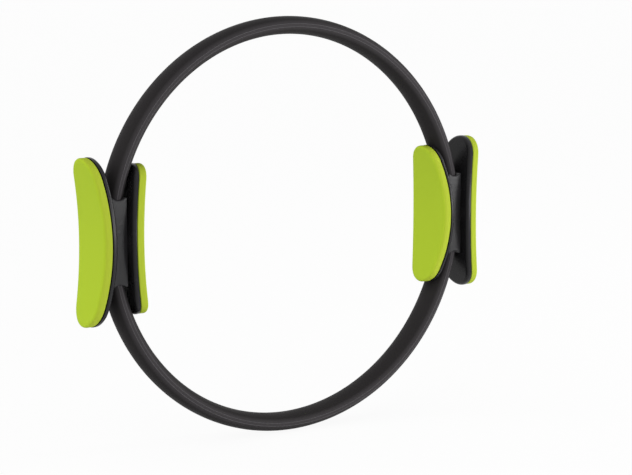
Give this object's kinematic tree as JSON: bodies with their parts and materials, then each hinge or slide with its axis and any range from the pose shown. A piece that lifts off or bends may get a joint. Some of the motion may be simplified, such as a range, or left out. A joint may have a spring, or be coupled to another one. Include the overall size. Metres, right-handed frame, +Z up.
{
  "type": "pilates ring",
  "caption": "Sprung exercise hoop in an oval rubber sleeve, with a moulded grip padded inside and out on each side; squeezing the grips together flexes the hoop.",
  "frame": {"origin": "centre of the hoop, midway between the grips", "axes": "+X towards the right-hand grip, +Y along the hoop's axis away from the viewer, +Z up, the ring standing upright with its grips level"},
  "size_m": [0.4036, 0.0528, 0.3696],
  "materials": {
    "sleeve_rubber": "satin",
    "grip_plastic": "satin",
    "foam": "matte foam",
    "tape": "matte",
    "glass_fibre": "satin",
    "screw_steel": "zinc plated"
  },
  "bodies": {
    "left_grip": {"left_outer_shell": "grip_plastic", "left_inner_shell": "grip_plastic", "left_outer_tape": "tape", "left_inner_tape": "tape", "left_outer_pad": "foam", "left_inner_pad": "foam", "left_screws": "screw_steel", "left_nuts": "screw_steel", "hoop_core_upper": "glass_fibre", "hoop_core_lower": "glass_fibre", "hoop_sleeve_upper": "sleeve_rubber", "hoop_sleeve_lower": "sleeve_rubber"},
    "right_grip": {"right_outer_shell": "grip_plastic", "right_inner_shell": "grip_plastic", "right_outer_tape": "tape", "right_inner_tape": "tape", "right_outer_pad": "foam", "right_inner_pad": "foam", "right_screws": "screw_steel", "right_nuts": "screw_steel"}
  },
  "joints": [
    {"name": "squeeze", "type": "slide", "parent": "left_grip", "child": "right_grip", "axis": [-1, 0, 0], "range_m": [-0.02, 0.06], "stiffness_N_per_m": 1800, "deforming": ["hoop_core_upper", "hoop_core_lower", "hoop_sleeve_upper", "hoop_sleeve_lower"]}
  ]
}
